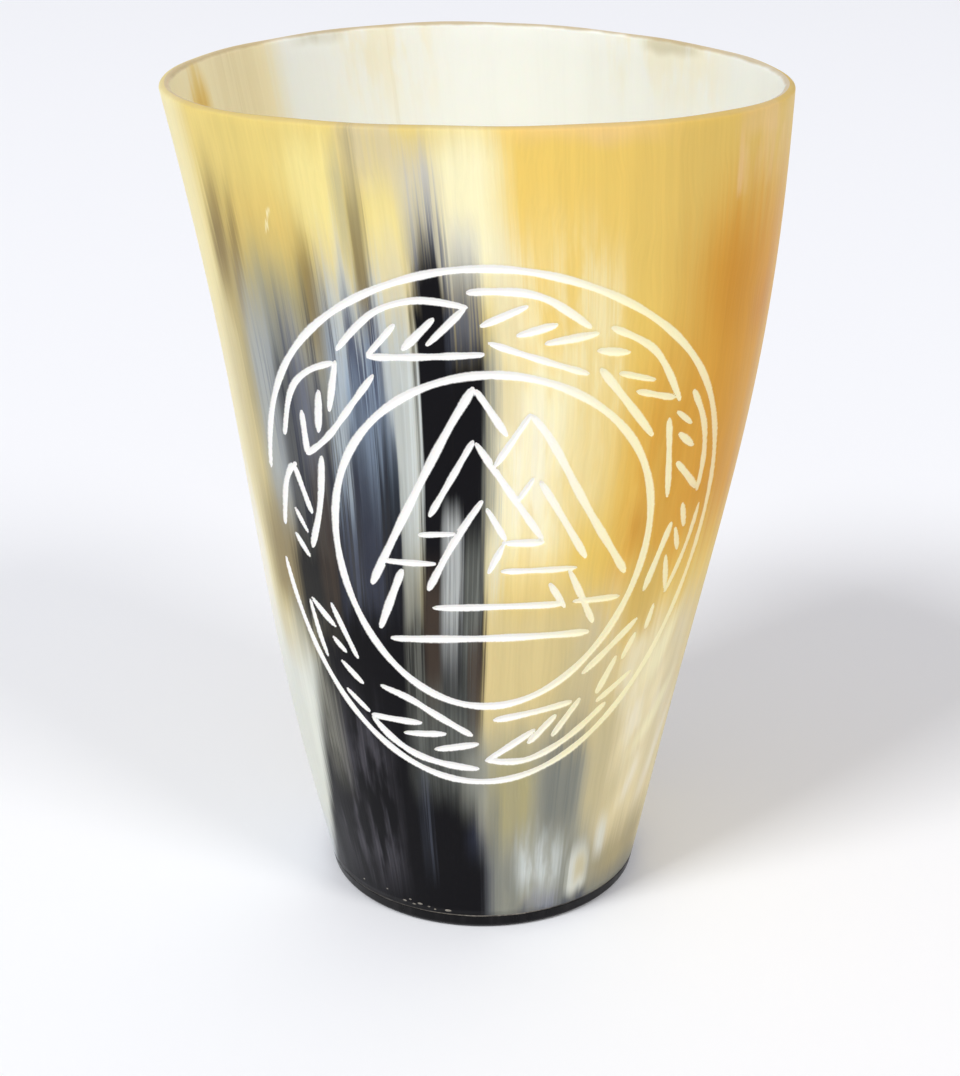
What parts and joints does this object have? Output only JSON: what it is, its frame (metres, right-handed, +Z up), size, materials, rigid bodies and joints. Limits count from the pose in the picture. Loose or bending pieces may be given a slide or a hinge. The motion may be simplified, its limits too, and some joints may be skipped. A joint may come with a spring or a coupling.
{
  "type": "horn drinking cup",
  "caption": "Tapered beaker of polished horn with a thin rounded lip, closed by a glued-in disc of black horn that it stands on.",
  "frame": {"origin": "middle of the flat face that the cup stands on", "axes": "+Z up along the cup, -Y out of the engraved side, +X to the right of someone who looks at that side"},
  "size_m": [0.0833, 0.0781, 0.12],
  "materials": {
    "horn": "polished horn, amber to cream with black streaks",
    "black_horn": "polished black horn",
    "glue": "hardened clear glue, pale and dull"
  },
  "bodies": {
    "root": {"horn_wall": "horn", "base_disc": "black_horn", "glue_seam": "glue"}
  },
  "joints": []
}
